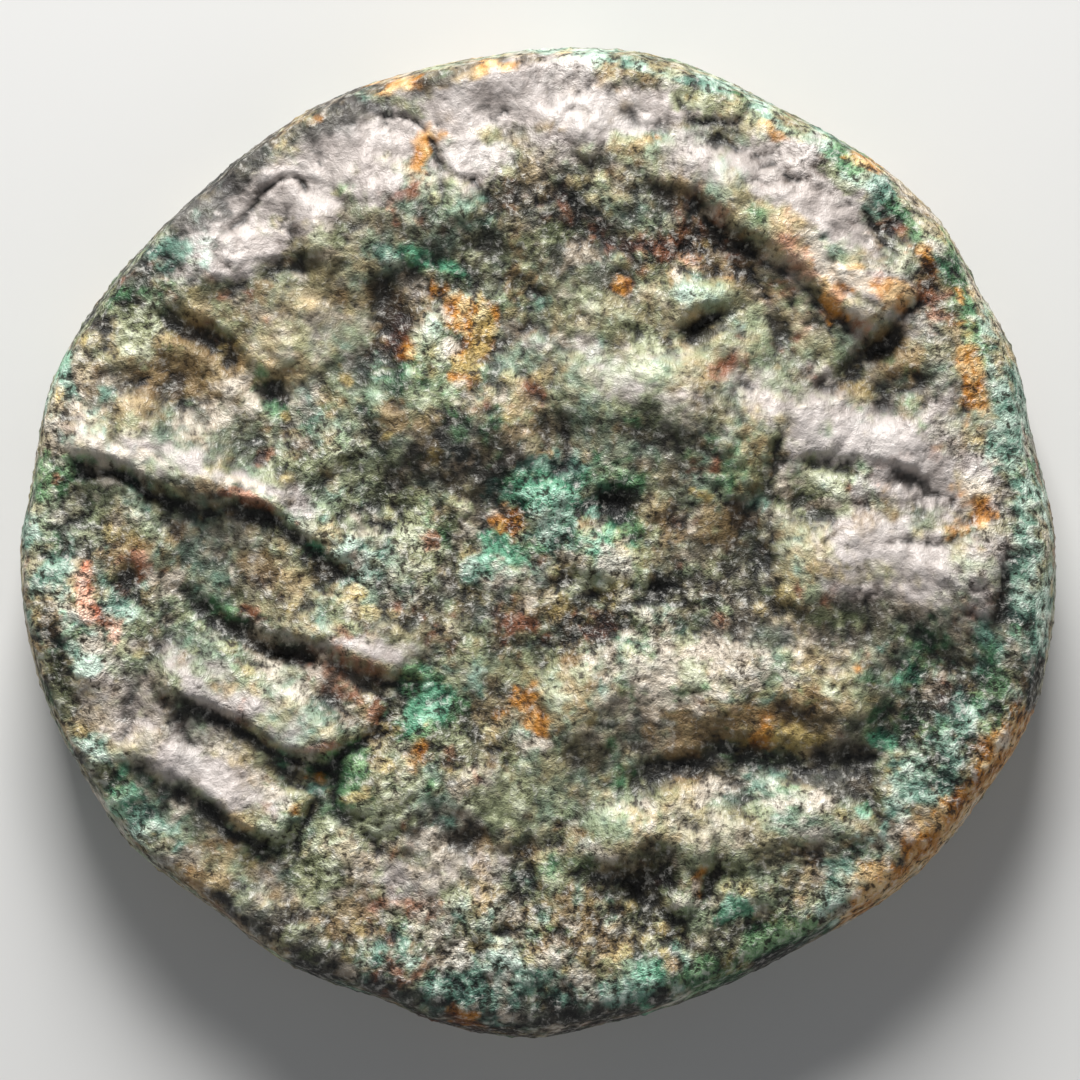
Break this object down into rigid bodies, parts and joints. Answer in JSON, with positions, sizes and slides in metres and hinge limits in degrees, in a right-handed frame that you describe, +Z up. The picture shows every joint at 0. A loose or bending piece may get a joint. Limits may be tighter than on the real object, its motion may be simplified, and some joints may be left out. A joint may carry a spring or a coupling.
{
  "type": "ancient struck bronze coin",
  "caption": "Thick struck bronze coin with a ragged round flan, a worn animal head in relief on its upper face, a barrel-shaped edge and a flat worn underside.",
  "frame": {"origin": "middle of the bounding box's underside, on the worn flat that the coin lies on", "axes": "+Z up through the figured face; +X to the picture's right, the way the head looks; +Y to the picture's top"},
  "size_m": [0.018, 0.0172, 0.0033],
  "materials": {
    "patinated_bronze": "corroded bronze with brown, grey and green patina"
  },
  "bodies": {
    "root": {"coin": "patinated_bronze"}
  },
  "joints": []
}
